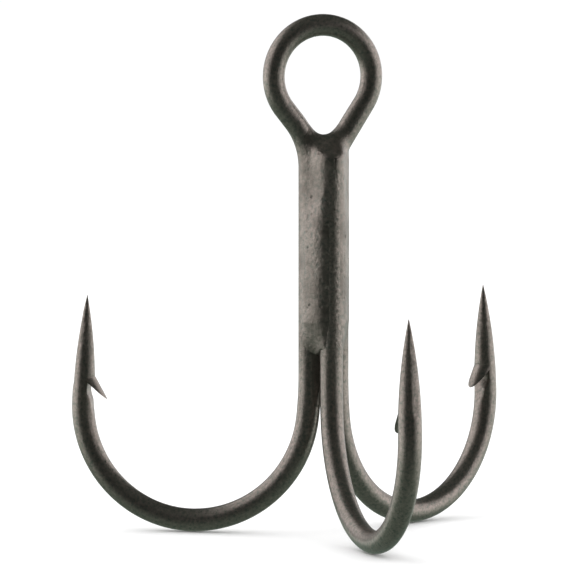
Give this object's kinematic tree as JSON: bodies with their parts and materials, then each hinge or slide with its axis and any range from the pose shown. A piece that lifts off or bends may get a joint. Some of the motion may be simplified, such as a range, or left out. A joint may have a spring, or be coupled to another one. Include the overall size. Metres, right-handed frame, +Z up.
{
  "type": "treble hook",
  "caption": "Treble fishing hook of round plated wire: barbed points fan out evenly from a straight brazed shank, which ends in a teardrop eye for a split ring or line.",
  "frame": {"origin": "centre of the round part of the eye", "axes": "+Z up along the shank, away from the bends; the eye and the double hook's shanks lie in the XZ plane, so the eye's hole runs along Y; the single hook points along -Y, and the double hook's points lie towards +X and -X, 30 degrees round towards +Y"},
  "size_m": [0.0398, 0.0347, 0.0453],
  "materials": {
    "hook_wire": "hardened high-carbon steel wire under a dark satin black nickel plate",
    "braze_filler": "brazing alloy under the same dark plate, slightly mottled and pitted"
  },
  "bodies": {
    "root": {"double_hook": "hook_wire", "single_hook": "hook_wire", "eye_braze": "braze_filler", "left_braze_fillet": "braze_filler", "right_braze_fillet": "braze_filler"}
  },
  "joints": []
}
